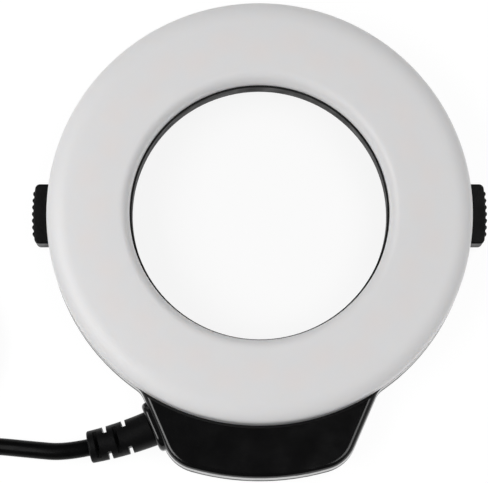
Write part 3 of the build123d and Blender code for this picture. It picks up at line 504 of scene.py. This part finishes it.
class Modeller:
    """Steps on the object that is being modelled."""

    @staticmethod
    def start(name: str, add: Callable[..., object], **sizes: object) -> bpy.types.Object:
        """Adds a primitive with nothing else selected.

        Args:
            name: Name of the piece.
            add: Operator that adds the primitive.
            sizes: Its sizes and place.

        Returns:
            The new object.
        """
        bpy.ops.object.select_all(action="DESELECT")
        add(**sizes)
        bpy.context.object.name = name
        return bpy.context.object

    @staticmethod
    def start_box(name: str, middle: Point, size: Point) -> bpy.types.Object:
        """Adds a box and opens it in edit mode.

        Args:
            name: Name of the piece.
            middle: Its middle in millimetres.
            size: Its length along each axis in millimetres.

        Returns:
            The box.
        """
        place = tuple(value * MM for value in middle)
        scale = tuple(value * MM for value in size)
        piece = Modeller.start(name, bpy.ops.mesh.primitive_cube_add, size=1.0, location=place, scale=scale)
        Modeller.apply_place()
        bpy.ops.object.mode_set(mode="EDIT")
        return piece

    @staticmethod
    def apply_place() -> None:
        """Puts the selected object's place, turn and scale into its mesh."""
        bpy.ops.object.transform_apply(location=True, rotation=True, scale=True)

    @staticmethod
    def pick(piece: bpy.types.Object, part: Part, test: Callable[[Vector], bool]) -> None:
        """Selects corners, edges or faces by their place, in edit mode.

        Args:
            piece: The object in edit mode.
            part: What is selected.
            test: Tells whether a corner or a face's middle is wanted; an edge needs both its ends.
        """
        bpy.ops.mesh.select_all(action="DESELECT")
        bpy.ops.mesh.select_mode(type=part.value)
        mesh = bmesh.from_edit_mesh(piece.data)
        if part is Part.CORNER:
            wanted = [corner for corner in mesh.verts if test(corner.co)]
        elif part is Part.EDGE:
            wanted = [edge for edge in mesh.edges if all(test(corner.co) for corner in edge.verts)]
        else:
            wanted = [face for face in mesh.faces if test(face.calc_center_median())]
        for item in wanted:
            item.select_set(True)
        mesh.select_flush(True)
        bmesh.update_edit_mesh(piece.data)

    @staticmethod
    def close(angle: float = SMOOTH_ANGLE) -> None:
        """Leaves edit mode with normals out, place applied and faces smooth up to an angle.

        Args:
            angle: Largest angle in degrees between faces that shade as one.
        """
        bpy.ops.mesh.select_all(action="SELECT")
        bpy.ops.mesh.remove_doubles(threshold=0.001 * MM)
        bpy.ops.mesh.normals_make_consistent(inside=False)
        bpy.ops.object.mode_set(mode="OBJECT")
        Modeller.apply_place()
        bpy.ops.object.shade_smooth_by_angle(angle=math.radians(angle))

    @staticmethod
    def finish(piece: bpy.types.Object, kind: str, **settings: object) -> None:
        """Gives a piece a modifier and applies it.

        Args:
            piece: The piece.
            kind: Type of the modifier.
            settings: Values of the modifier.
        """
        modifier = piece.modifiers.new(kind.lower(), kind)
        for name, value in settings.items():
            setattr(modifier, name, value)
        bpy.context.view_layer.objects.active = piece
        bpy.ops.object.modifier_apply(modifier=modifier.name)

    @staticmethod
    def round_edges(piece: bpy.types.Object, width: float, steps: int, angle: float) -> None:
        """Rounds every edge that is sharper than an angle.

        Args:
            piece: The piece.
            width: Width of the rounding in millimetres.
            steps: Faces across it.
            angle: Least angle in degrees.
        """
        Modeller.finish(piece, "BEVEL", width=width * MM, segments=steps, angle_limit=math.radians(angle))


@dataclass
class CoilTie:
    """Nylon tie drawn tight round the coil, with its ratchet head and cut tail, in millimetres."""

    angle: float = 50.0
    width: float = 5.0
    thickness: float = 0.5
    edge_share: float = 0.2
    edge_steps: int = 2
    strap_sharp: float = 50.0
    box_sharp: float = 40.0
    play: float = 0.05
    arc_steps: int = 8
    head_length: float = 4.6
    head_width: float = 5.6
    head_top: float = 12.9
    head_round: float = 0.35
    head_steps: int = 3
    mouth_rim: float = 0.55
    mouth_depth: float = 0.4
    tail_length: float = 3.2
    tail_width: float = 3.9
    tail_height: float = 1.15
    tip_share: float = 0.55

    def loop(self, strands: list[Corner], reach: float) -> list[Corner]:
        """Middle line of the strap, drawn tight round the strands.

        Args:
            strands: Radius and height of each strand, anticlockwise, in millimetres.
            reach: Distance from a strand's centre to the strap's middle.

        Returns:
            Radius and height along the strap, closed.
        """
        line = []
        for index, (x, z) in enumerate(strands):
            last_x, last_z = strands[index - 1]
            next_x, next_z = strands[(index + 1) % len(strands)]
            start = math.atan2(last_x - x, z - last_z)
            end = math.atan2(x - next_x, next_z - z)
            sweep = (end - start) % math.tau
            for step in range(self.arc_steps + 1):
                turn = start + sweep * step / self.arc_steps
                line.append((x + reach * math.cos(turn), z + reach * math.sin(turn)))
        return [*line, line[0]]

    def strap(self, line: list[Corner]) -> bpy.types.Object:
        """Draws a strap's edge along a line and gives it its thickness.

        Args:
            line: Radius and height along the strap.

        Returns:
            The strap.
        """
        x, z = line[0]
        piece = Modeller.start(
            "coil_tie",
            bpy.ops.mesh.primitive_plane_add,
            size=self.width * MM,
            location=(x * MM, 0, z * MM),
        )
        bpy.ops.object.mode_set(mode="EDIT")
        Modeller.pick(piece, Part.CORNER, lambda place: place.x < 0)
        bpy.ops.mesh.delete(type="VERT")
        bpy.ops.mesh.select_all(action="SELECT")
        bpy.ops.transform.translate(value=(-self.width / 2 * MM, 0, 0))
        for next_x, next_z in line[1:]:
            step = ((next_x - x) * MM, 0, (next_z - z) * MM)
            bpy.ops.mesh.extrude_edges_move(TRANSFORM_OT_translate={"value": step})
            x, z = next_x, next_z
        Modeller.close()
        Modeller.finish(piece, "SOLIDIFY", thickness=self.thickness * MM, offset=0.0, use_even_offset=True)
        Modeller.round_edges(piece, self.edge_share * self.thickness, self.edge_steps, self.strap_sharp)
        return piece

    def head(self, middle: float, foot: float) -> bpy.types.Object:
        """Box of the ratchet, with the mouths that the strap runs through.

        Args:
            middle: Radius of its middle in millimetres.
            foot: Height of its foot in millimetres.

        Returns:
            The head.
        """
        rise = self.head_top - foot
        size = (self.head_length, self.head_width, rise)
        piece = Modeller.start_box("coil_tie_head", (middle, 0, foot + rise / 2), size)
        half = self.head_length / 2
        Modeller.pick(piece, Part.FACE, lambda place: abs(abs(place.x / MM - middle) - half) < NEAR)
        bpy.ops.mesh.inset(thickness=self.mouth_rim * MM, depth=-self.mouth_depth * MM, use_individual=True)
        Modeller.close()
        Modeller.round_edges(piece, self.head_round, self.head_steps, self.box_sharp)
        return piece

    def tail(self, start: float, height: float) -> bpy.types.Object:
        """Cut end of the strap, which leaves the head and narrows at its tip.

        Args:
            start: Radius where it starts in millimetres.
            height: Height of its middle in millimetres.

        Returns:
            The tail.
        """
        end = start + self.tail_length
        size = (self.tail_length, self.tail_width, self.thickness)
        piece = Modeller.start_box("coil_tie_tail", ((start + end) / 2, 0, height), size)
        Modeller.pick(piece, Part.FACE, lambda place: place.x / MM > end - NEAR)
        bpy.ops.mesh.extrude_region_move(TRANSFORM_OT_translate={"value": (self.thickness * MM, 0, 0)})
        bpy.ops.transform.resize(value=(1, self.tip_share, 1), center_override=(end * MM, 0, height * MM))
        Modeller.close()
        Modeller.round_edges(piece, self.edge_share * self.thickness, self.edge_steps, self.box_sharp)
        return piece

    def build(self, dresser: Dresser, cable: "SupplyCable") -> bpy.types.Object:
        """Builds the tie round the strands that pass its place.

        Args:
            dresser: Gives the finish.
            cable: The cable whose coil it holds.

        Returns:
            The tie.
        """
        strands = cable.strands(270.0 - self.angle)
        reach = cable.diameter / MM / 2 + self.play + self.thickness / 2
        line = self.loop(strands, reach)
        top = max(z for _, z in line)
        flat = [x for x, z in line if z > top - NEAR]
        middle = sum(flat) / len(flat)
        piece = self.strap(line)
        head = self.head(middle, top)
        tail = self.tail(middle + self.head_length / 2 - self.mouth_depth, top + self.tail_height)
        bpy.ops.object.select_all(action="DESELECT")
        for part in (tail, head, piece):
            part.select_set(True)
        bpy.context.view_layer.objects.active = piece
        bpy.ops.object.join()
        x, y, _ = cable.coil_centre
        piece.location = (x * MM, y * MM, 0)
        piece.rotation_euler = (0, 0, math.radians(self.angle))
        Modeller.apply_place()
        bpy.ops.object.shade_smooth_by_angle(angle=math.radians(SMOOTH_ANGLE))
        dresser.piece(piece, "tie")
        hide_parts("cable_tie")
        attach(piece, "housing")
        return piece


@dataclass
class SupplyCable:
    """The cable from the strain relief to its plug, with the coil of its unseen length.

    Its diameter and length are in metres, its places in millimetres.
    """

    diameter: float = 4.8 * MM
    length: float = 705 * MM
    round_steps: int = 7
    run_steps: int = 8
    run: tuple[Point, ...] = (
        (-47.634, -65.6751, 6.2874),
        (-54.4851, -67.1062, 6.1671),
        (-63.2, -66.3, 5.2),
        (-75.0, -65.0, 2.65),
        (-86.5, -64.8, 2.5),
        (-95.5, -66.6, 2.95),
    )
    coil_centre: Point = (-104.5, -36.6, 0.0)
    coil_start_radius: float = 30.0
    turn_step: float = 5.3
    turns_in: int = 2
    turns_out: float = 1.75
    climb: float = 180.0
    climb_dip: float = 0.9
    low_z: float = 2.95
    high_z: float = 8.2
    points_per_turn: int = 24
    tail: float = 13.0
    pieces: tuple[str, ...] = ("plug_body", "plug_shell", "plug_insulator", "plug_pins")

    @property
    def inner_radius(self) -> float:
        """Radius where the coil climbs, in millimetres."""
        return self.coil_start_radius - self.turn_step * self.turns_in

    def coil_point(self, degrees: float, radius: float, z: float) -> Vector:
        """Control point of the coil, set out so far that the spline runs at the radius.

        Args:
            degrees: Angle from the coil's bottom, clockwise.
            radius: Radius of the cable's centre line in millimetres.
            z: Height in millimetres.

        Returns:
            The point in millimetres.
        """
        reach = radius / (0.75 + 0.25 * math.cos(math.tau / self.points_per_turn))
        angle = math.radians(degrees)
        x, y, _ = self.coil_centre
        return Vector((x - reach * math.sin(angle), y - reach * math.cos(angle), z))

    def coil(self) -> list[Vector]:
        """Control points of the coil: two turns in, a climb, and back out to the left side.

        Returns:
            The points in millimetres.
        """
        step = 360 / self.points_per_turn
        climb_start = 360 * self.turns_in
        climb_end = climb_start + self.climb
        last = climb_end + 360 * self.turns_out
        points = []
        for index in range(int(last / step) + 1):
            degrees = index * step
            if degrees <= climb_start:
                radius = self.coil_start_radius - self.turn_step * degrees / 360
                z = self.low_z
            elif degrees < climb_end:
                share = (degrees - climb_start) / self.climb
                radius = self.inner_radius - self.climb_dip * math.sin(math.pi * share)
                z = self.low_z + (self.high_z - self.low_z) * (0.5 - 0.5 * math.cos(math.pi * share))
            else:
                radius = self.inner_radius + self.turn_step * (degrees - climb_end) / 360
                z = self.high_z
            points.append(self.coil_point(degrees, radius, z))
        return points

    def strands(self, degrees: float) -> list[Corner]:
        """Where the coil's turns pass one angle.

        Args:
            degrees: Angle from the coil's bottom, clockwise.

        Returns:
            Radius and height in millimetres, low strands from outside, then high ones from inside.
        """
        turns = range(self.turns_in)
        low = [self.coil_start_radius - self.turn_step * (turn + degrees / 360) for turn in turns]
        past_climb = degrees - self.climb
        high = [self.inner_radius + self.turn_step * (turn + past_climb / 360) for turn in turns]
        return [(radius, self.low_z) for radius in low] + [(radius, self.high_z) for radius in high]

    def build(self, dresser: Dresser) -> None:
        """Args:
            dresser: Gives the finishes.
        """
        points = [Vector(p) for p in self.run] + self.coil()
        end = points[-1] + Vector((0, self.tail, 0))
        points += [points[-1] + Vector((0, self.tail / 3, 0)), end]
        curve = bpy.data.curves.new("supply_cable", "CURVE")
        curve.dimensions = "3D"
        spline = curve.splines.new("NURBS")
        spline.points.add(len(points) - 1)
        for target, point in zip(spline.points, points):
            target.co = (*(point * MM), 1.0)
        spline.order_u = 3
        spline.use_endpoint_u = True
        curve.bevel_depth = self.diameter / 2
        curve.bevel_resolution = self.round_steps
        curve.resolution_u = self.run_steps
        curve.use_fill_caps = True
        piece = bpy.data.objects.new("supply_cable", curve)
        bpy.context.scene.collection.objects.link(piece)
        dresser.piece(piece, "cable_jacket")
        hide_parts("cable", "cable_coil")
        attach(piece, "housing")
        tie = CoilTie().build(dresser, self)
        for name in self.pieces:
            dresser.node(name)


@dataclass
class OpalCover:
    """Milky cover: a softly crowned channel with a rounded rim, turned round the bore, in millimetres."""

    rim_radius: float = 60.0
    bore_radius: float = 36.6
    foot: float = 11.0
    top: float = 19.0
    crown: float = 0.5
    crown_steps: int = 5
    ledge: float = 12.4
    draft: float = 0.3
    shoulder_width: float = 6.5
    shoulder_height: float = 3.7
    shoulder_steps: int = 14
    wall: float = 1.8
    channel_inside: float = 38.4
    channel_outside: float = 58.2
    channel_round: float = 2.1
    inner_round: float = 2.9
    round_steps: int = 12
    facets: int = 192
    inner_foot: tuple[Corner, ...] = ((36.6, 12.0), (37.3, 12.0), (37.3, 10.1), (38.4, 10.1))
    outer_foot: tuple[Corner, ...] = (
        (58.2, 13.8),
        (56.9, 12.5),
        (56.9, 10.1),
        (57.9, 10.1),
        (57.9, 10.3),
        (58.15, 10.55),
        (57.9, 10.8),
        (57.9, 11.0),
    )

    def height(self, radius: float) -> float:
        """Returns the crowned face's height at a radius, in millimetres."""
        middle = (self.rim_radius + self.bore_radius) / 2
        half = (self.rim_radius - self.bore_radius) / 2
        return self.top - self.crown * ((radius - middle) / half) ** 2

    def section(self) -> list[Corner]:
        """Corners of the cover's section after its first, in order.

        Returns:
            Radius and height of each corner in millimetres.
        """
        crest = self.rim_radius - self.draft - self.shoulder_width
        spring = self.height(crest) - self.shoulder_height
        shoulder = []
        for step in range(self.shoulder_steps):
            turn = math.pi / 2 * step / self.shoulder_steps
            rise = self.shoulder_height * math.sin(turn)
            shoulder.append((crest + self.shoulder_width * math.cos(turn), spring + rise))
        width = crest - self.bore_radius
        reaches = [crest - width * step / self.crown_steps for step in range(self.crown_steps + 1)]
        face = [(radius, self.height(radius)) for radius in reaches]
        ceiling = self.top - self.wall
        inside = (
            (self.channel_inside, ceiling - self.crown),
            ((self.channel_inside + self.channel_outside) / 2, ceiling),
            (self.channel_outside, ceiling - self.crown),
        )
        outside = ((self.rim_radius, self.ledge), *shoulder, *face)
        return [*outside, *self.inner_foot, *inside, *self.outer_foot]

    def on_ring(self, place: Vector, radius: float, height: float) -> bool:
        """Tells whether a point lies on a ring round the bore.

        Args:
            place: The point in metres.
            radius: The ring's radius in millimetres.
            height: The ring's height in millimetres.

        Returns:
            Whether it does.
        """
        off = math.hypot(place.x, place.y) / MM - radius
        return max(abs(off), abs(place.z / MM - height)) < NEAR

    def round_off(self, piece: bpy.types.Object, radius: float, height: float, size: float) -> None:
        """Rounds one ring of edges.

        Args:
            piece: The cover in edit mode.
            radius: The ring's radius in millimetres.
            height: The ring's height in millimetres.
            size: Radius of the rounding in millimetres.
        """
        Modeller.pick(piece, Part.EDGE, lambda place: self.on_ring(place, radius, height))
        bpy.ops.mesh.bevel(
            offset=size * MM,
            offset_type="OFFSET",
            segments=self.round_steps,
            profile=0.5,
            affect="EDGES",
        )

    def build(self, dresser: Dresser) -> None:
        """Draws the section out ring by ring, joins its ends and rounds its corners.

        Args:
            dresser: Gives the finish.
        """
        piece = Modeller.start(
            "opal_cover",
            bpy.ops.mesh.primitive_circle_add,
            vertices=self.facets,
            radius=self.rim_radius * MM,
            location=(0, 0, 0),
            fill_type="NOTHING",
        )
        bpy.ops.object.mode_set(mode="EDIT")
        bpy.ops.transform.translate(value=(0, 0, self.foot * MM))
        radius, height = self.rim_radius, self.foot
        for next_radius, next_height in self.section():
            step = (0, 0, (next_height - height) * MM)
            bpy.ops.mesh.extrude_edges_move(TRANSFORM_OT_translate={"value": step})
            share = next_radius / radius
            bpy.ops.transform.resize(value=(share, share, 1), center_override=(0, 0, 0))
            radius, height = next_radius, next_height
        Modeller.pick(
            piece,
            Part.EDGE,
            lambda place: self.on_ring(place, self.rim_radius, height) or self.on_ring(place, radius, height),
        )
        bpy.ops.mesh.bridge_edge_loops()
        inner_edge = self.top - self.wall - self.crown
        self.round_off(piece, self.bore_radius, self.height(self.bore_radius), self.inner_round)
        self.round_off(piece, self.channel_outside, inner_edge, self.channel_round)
        self.round_off(piece, self.channel_inside, inner_edge, self.inner_round - self.wall)
        Modeller.close()
        dresser.piece(piece, "milky")
        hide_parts("diffuser")
        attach(piece, "housing")


@dataclass
class LatchSprings:
    """Return springs behind the push plates, in millimetres; a pressed latch shortens them, but here they are
    built at rest and fixed to the housing.
    """

    coil_radius: float = 1.2
    wire_radius: float = 0.2
    turns: int = 6
    foot: float = 52.05
    head: float = 57.35
    axis_height: float = 3.2
    travel: float = 2.2
    facets: int = 12
    steps_per_turn: int = 24
    smooth_angle: float = 60.0
    joints: tuple[tuple[str, float, str], ...] = (
        ("latch_left", 180.0, "latch_spring_left"),
        ("latch_right", 0.0, "latch_spring_right"),
    )

    def coil(self, name: str) -> bpy.types.Object:
        """Winds a round wire on the X axis and closes its cut ends.

        Args:
            name: Name of the spring.

        Returns:
            The spring, lying on the X axis.
        """
        piece = Modeller.start(
            name,
            bpy.ops.mesh.primitive_circle_add,
            vertices=self.facets,
            radius=self.wire_radius * MM,
            location=((self.foot + self.wire_radius) * MM, 0, self.coil_radius * MM),
            rotation=(math.pi / 2, 0, 0),
            fill_type="NOTHING",
        )
        Modeller.apply_place()
        pitch = (self.head - self.foot - 2 * self.wire_radius) / self.turns * MM
        Modeller.finish(
            piece,
            "SCREW",
            axis="X",
            angle=math.tau,
            screw_offset=pitch,
            iterations=self.turns,
            steps=self.steps_per_turn,
            render_steps=self.steps_per_turn,
        )
        bpy.ops.object.mode_set(mode="EDIT")
        bpy.ops.mesh.select_all(action="SELECT")
        bpy.ops.mesh.fill_holes(sides=self.facets)
        Modeller.close(self.smooth_angle)
        return piece

    def build(self, dresser: Dresser) -> None:
        """Builds both springs, each turned to its side and fixed to the housing, at rest.

        Args:
            dresser: Gives the finish.
        """
        for joint, turn, node in self.joints:
            piece = self.coil(f"{joint}_return_spring")
            piece.rotation_euler = (0, 0, math.radians(turn))
            piece.location = (0, 0, self.axis_height * MM)
            Modeller.apply_place()
            dresser.piece(piece, "spring_steel")
            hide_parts(node)
            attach(piece, "housing")
            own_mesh(piece)


@dataclass
class Carried:
    """CAD nodes whose own shape is right, dressed as they are."""

    names: tuple[str, ...] = (
        "rear_housing",
        "front_housing",
        "chassis_plate",
        "reflector_tray",
        "led_board",
        "led_packages",
        "led_phosphors",
        "board_components",
        "board_connector",
        "latch_slider_left",
        "latch_slider_right",
        "latch_grip_left",
        "latch_grip_right",
        "housing_screws",
        "chassis_screws",
        "board_screws",
        "strain_relief",
        "cable_core",
        "supply_wires",
    )

    def build(self, dresser: Dresser) -> None:
        """Dresses the nodes.

        Args:
            dresser: Gives the finishes.
        """
        for name in self.names:
            dresser.node(name)


@dataclass(frozen=True)
class SoftBox:
    """One rectangular studio light, in metres and watts."""

    name: str
    place: Point
    aim: Point
    width: float
    height: float
    power: float

    def build(self) -> None:
        """Hangs the light and turns it towards its aim."""
        data = bpy.data.lights.new(self.name, "AREA")
        data.shape = "RECTANGLE"
        data.size = self.width
        data.size_y = self.height
        data.energy = self.power
        light = bpy.data.objects.new(self.name, data)
        light.location = self.place
        light.rotation_mode = "QUATERNION"
        light.rotation_quaternion = (Vector(self.aim) - Vector(self.place)).to_track_quat("-Z", "Y")
        bpy.context.scene.collection.objects.link(light)


@dataclass
class Studio:
    """White table, soft lights and the camera."""

    table_size: float = 6.0
    table_drop: float = 0.05 * MM
    table_colour: Colour = (0.08, 0.08, 0.08)
    table_roughness: float = 0.6
    table_glow: float = 0.93
    shaded_glow: float = 0.865
    shade_edge: tuple[float, float] = (40 * MM, 62 * MM)
    under: float = 0.02
    dome: float = 0.42
    zenith: float = 0.045
    horizon: tuple[float, float] = (0.48, 0.53)
    overhead: tuple[float, float] = (0.82, 0.93)
    end_share: float = 0.1
    end_fade: tuple[float, float] = (0.1, 0.8)
    aim: Point = (-4.37 * MM, -8.35 * MM, 12 * MM)
    distance: float = 588 * MM
    elevation: float = 81.0
    lens_mm: float = 154.4
    sensor_mm: float = 36.0
    lights: list[SoftBox] = field(
        default_factory=lambda: [
            SoftBox("left_box", (-0.38, -0.08, 0.46), (0, 0, 0.01), 0.5, 0.3, 2.2),
            SoftBox("right_box", (0.38, 0.0, 0.78), (0, 0, 0.01), 0.8, 0.4, 2.8),
        ]
    )

    def build_table(self) -> None:
        """Lays the white table, whose glow is a little weaker where the ring shades it."""
        bpy.ops.object.select_all(action="DESELECT")
        bpy.ops.mesh.primitive_plane_add(size=self.table_size, location=(0, 0, -self.table_drop))
        table = bpy.context.object
        table.name = "studio_table"
        graph = Graph("studio_table")
        graph.set("Base Color", self.table_colour)
        graph.set("Roughness", self.table_roughness)
        graph.set("Emission Color", (1.0, 1.0, 1.0))
        x, y, _ = graph.axes()
        glow = graph.span(graph.distance(x, y), *self.shade_edge, self.shaded_glow, self.table_glow)
        graph.set("Emission Strength", glow)
        table.data.materials.append(graph.material)

    def build_sky(self) -> None:
        """Sets the room, dark overhead and brighter all round, and plain colours without a film curve."""
        world = bpy.data.worlds.new("studio")
        world.use_nodes = True
        nodes, links = world.node_tree.nodes, world.node_tree.links
        background = nodes["Background"]
        background.inputs["Color"].default_value = (1.0, 1.0, 1.0, 1.0)
        height = nodes.new("ShaderNodeSeparateXYZ")
        links.new(nodes.new("ShaderNodeTexCoord").outputs["Generated"], height.inputs[0])
        ramp = nodes.new("ShaderNodeValToRGB")
        ramp.color_ramp.interpolation = "EASE"
        low, high = self.horizon
        side, top = self.overhead
        stops = (
            (0.0, self.under),
            (low, self.under),
            (high, self.dome),
            (side, self.dome),
            (top, self.zenith),
        )
        while len(ramp.color_ramp.elements) < len(stops):
            ramp.color_ramp.elements.new(0.5)
        for element, (place, strength) in zip(ramp.color_ramp.elements, stops):
            element.position = place
            element.color = (strength, strength, strength, 1.0)
        half = nodes.new("ShaderNodeMath")
        half.operation = "MULTIPLY_ADD"
        half.inputs[1].default_value = 0.5
        half.inputs[2].default_value = 0.5
        links.new(height.outputs["Z"], half.inputs[0])
        links.new(half.outputs[0], ramp.inputs["Fac"])
        front = nodes.new("ShaderNodeMapRange")
        least, most = self.end_fade
        limits = {"From Min": least, "From Max": most, "To Min": 1.0, "To Max": self.end_share}
        for name, number in limits.items():
            front.inputs[name].default_value = number
        ends = nodes.new("ShaderNodeMath")
        ends.operation = "ABSOLUTE"
        links.new(height.outputs["Y"], ends.inputs[0])
        links.new(ends.outputs[0], front.inputs["Value"])
        both = nodes.new("ShaderNodeMath")
        both.operation = "MULTIPLY"
        links.new(ramp.outputs["Color"], both.inputs[0])
        links.new(front.outputs["Result"], both.inputs[1])
        links.new(both.outputs[0], background.inputs["Strength"])
        bpy.context.scene.world = world
        bpy.context.scene.view_settings.view_transform = "Standard"

    def build_camera(self) -> None:
        """Places the camera of the photograph."""
        data = bpy.data.cameras.new("camera")
        data.lens = self.lens_mm
        data.sensor_width = self.sensor_mm
        data.sensor_fit = "HORIZONTAL"
        data.clip_start = 0.01
        camera = bpy.data.objects.new("camera", data)
        tilt = math.radians(self.elevation)
        back = Vector((0, -math.cos(tilt), math.sin(tilt)))
        camera.location = Vector(self.aim) + back * self.distance
        camera.rotation_mode = "QUATERNION"
        camera.rotation_quaternion = (-back).to_track_quat("-Z", "Y")
        bpy.context.scene.collection.objects.link(camera)
        bpy.context.scene.camera = camera

    def build(self) -> None:
        """Builds the whole studio."""
        self.build_table()
        self.build_sky()
        for light in self.lights:
            light.build()
        self.build_camera()


def main() -> None:
    """Builds every sub-assembly and the studio."""
    logging.basicConfig(level=logging.INFO, format="%(name)s: %(message)s")
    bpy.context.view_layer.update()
    dresser = Dresser()
    Studio().build()
    SupplyCable().build(dresser)
    OpalCover().build(dresser)
    LatchSprings().build(dresser)
    Carried().build(dresser)


if __name__ == "__main__":
    main()
